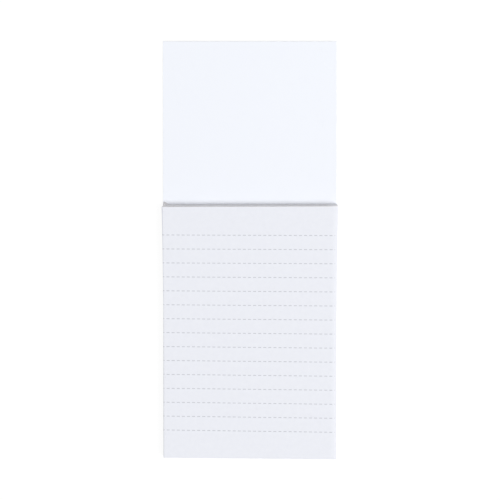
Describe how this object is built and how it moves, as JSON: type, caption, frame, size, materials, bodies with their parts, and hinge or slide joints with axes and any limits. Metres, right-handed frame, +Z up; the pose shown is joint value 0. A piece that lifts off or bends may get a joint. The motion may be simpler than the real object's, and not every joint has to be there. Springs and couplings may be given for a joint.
{
  "type": "magnetic notepad",
  "caption": "Stiff coated card with a bare header, a glued pad of dash-ruled sheets taped to its lower part, and flexible magnet strips on its back.",
  "frame": {"origin": "middle of the outline seen from above, in the plane of the magnet strips' faces, which the notepad rests on", "axes": "+X across the card, +Y along it towards the header's top edge, +Z up out of the pages"},
  "size_m": [0.0762, 0.183, 0.007],
  "materials": {
    "coated_card": "gloss",
    "sheet_paper": "matte",
    "ruling_ink": "matte",
    "greyboard": "matte",
    "padding_glue": "satin",
    "tape": "satin",
    "magnet_rubber": "matte"
  },
  "bodies": {
    "root": {"header_card": "coated_card", "magnet_strip_top": "magnet_rubber", "magnet_strip_foot": "magnet_rubber", "tape_strip_head": "tape", "tape_strip_foot": "tape", "pad_board": "greyboard", "page_block": "sheet_paper", "padding_glue": "padding_glue"}
  },
  "joints": []
}
